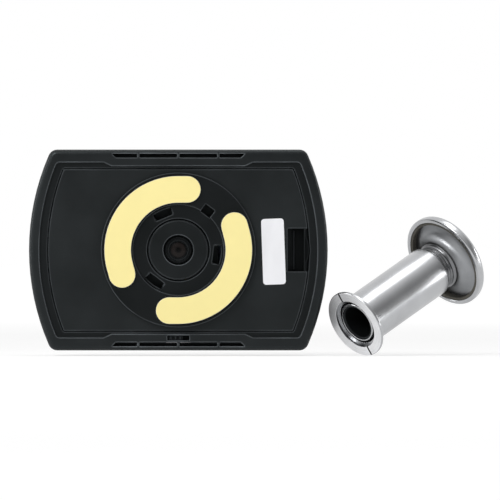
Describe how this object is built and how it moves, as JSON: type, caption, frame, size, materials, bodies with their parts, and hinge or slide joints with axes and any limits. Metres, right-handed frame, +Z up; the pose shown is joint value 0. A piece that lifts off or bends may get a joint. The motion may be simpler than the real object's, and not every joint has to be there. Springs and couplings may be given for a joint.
{
  "type": "peephole door camera",
  "caption": "Indoor door viewer unit with a bowed black housing, battery cover, twist-lock adhesive door plate and camera, with its chromed two-piece peephole barrel.",
  "frame": {"origin": "on the camera's axis, at the mouth of the collar socket on the door plate's outer face", "axes": "+X to the right as seen from the door side, +Y from the door into the room, +Z up"},
  "size_m": [0.171, 0.0562, 0.0772],
  "materials": {
    "black_abs": "satin, fine texture",
    "dark_button": "satin",
    "tinted_window": "gloss",
    "display": "gloss",
    "foam": "closed-cell foam",
    "release_paper": "pale yellow waxed paper",
    "sticker": "white vinyl",
    "board": "solder mask",
    "chip_black": "moulded resin",
    "ivory_plastic": "satin",
    "switch_metal": "plated",
    "contact_steel": "nickel plated",
    "cell_can": "printed can",
    "lens_glass": "coated, polished",
    "chrome": "polished",
    "seal_rubber": "matt"
  },
  "bodies": {
    "housing": {"rear_shell": "black_abs", "front_shell": "black_abs", "screen_window": "tinted_window", "screen_gasket": "foam", "lcd_panel": "display", "main_board": "board", "chip_1": "chip_black", "chip_2": "chip_black", "chip_3": "chip_black", "chip_4": "chip_black", "tact_switch": "switch_metal", "switch_body": "switch_metal", "board_connector": "ivory_plastic", "camera_housing": "black_abs", "camera_board": "board", "image_sensor": "chip_black", "lens_holder": "black_abs", "lens_barrel": "black_abs", "lens_front": "lens_glass", "lens_rear": "lens_glass", "battery_cell_1": "cell_can", "battery_cell_2": "cell_can", "battery_cell_3": "cell_can", "battery_cell_4": "cell_can", "flat_contact_1": "contact_steel", "flat_contact_2": "contact_steel", "flat_contact_3": "contact_steel", "flat_contact_4": "contact_steel", "sprung_contact_1": "contact_steel", "sprung_contact_2": "contact_steel", "sprung_contact_3": "contact_steel", "sprung_contact_4": "contact_steel", "housing_screws": "contact_steel"},
    "cover": {"back_cover": "black_abs", "label_sticker": "sticker"},
    "latch": {"cover_latch": "black_abs"},
    "plate": {"mount_plate": "black_abs", "pad_upper": "foam", "pad_lower": "foam", "liner_upper": "release_paper", "liner_lower": "release_paper"},
    "button": {"view_button": "dark_button"},
    "switch": {"switch_knob": "black_abs"},
    "sleeve": {"barrel_sleeve": "chrome"},
    "head": {"barrel_head": "chrome", "flange_gasket": "seal_rubber", "light_baffle": "black_abs", "objective_lens": "lens_glass", "objective_ring": "chrome", "relay_lens": "lens_glass", "eye_lens": "lens_glass"}
  },
  "joints": [
    {"name": "cover_hinge", "type": "hinge", "parent": "housing", "child": "cover", "pos_m": [-0.04895, 0.0024, 0], "axis": [0, 0, -1], "range_deg": [0, 30]},
    {"name": "plate_twist", "type": "hinge", "parent": "cover", "child": "plate", "pos_m": [0, 0, 0], "axis": [0, 1, 0], "range_deg": [0, 25]},
    {"name": "latch_press", "type": "slide", "parent": "cover", "child": "latch", "axis": [-1, 0, 0], "range_m": [0, 0.0012], "stiffness_N_per_m": 1500},
    {"name": "button_press", "type": "slide", "parent": "housing", "child": "button", "axis": [0, -1, 0], "range_m": [0, 0.0008], "stiffness_N_per_m": 1500},
    {"name": "switch_slide", "type": "slide", "parent": "housing", "child": "switch", "axis": [1, 0, 0], "range_m": [0, 0.002]},
    {"name": "sleeve_turn", "type": "hinge", "parent": "housing", "child": "sleeve", "pos_m": [0.06615, 0, -0.02785], "axis": [-0.6668, -0.5837, -0.4633], "range_deg": [-1050, 3270]},
    {"name": "flange_draw", "type": "slide", "parent": "housing", "child": "head", "axis": [0.6668, 0.5837, 0.4633], "range_m": [-0.00364, 0.01134]}
  ],
  "couplings": [
    {"joint": "sleeve_turn", "follows": "flange_draw", "rad_per_m": 5026.5}
  ]
}
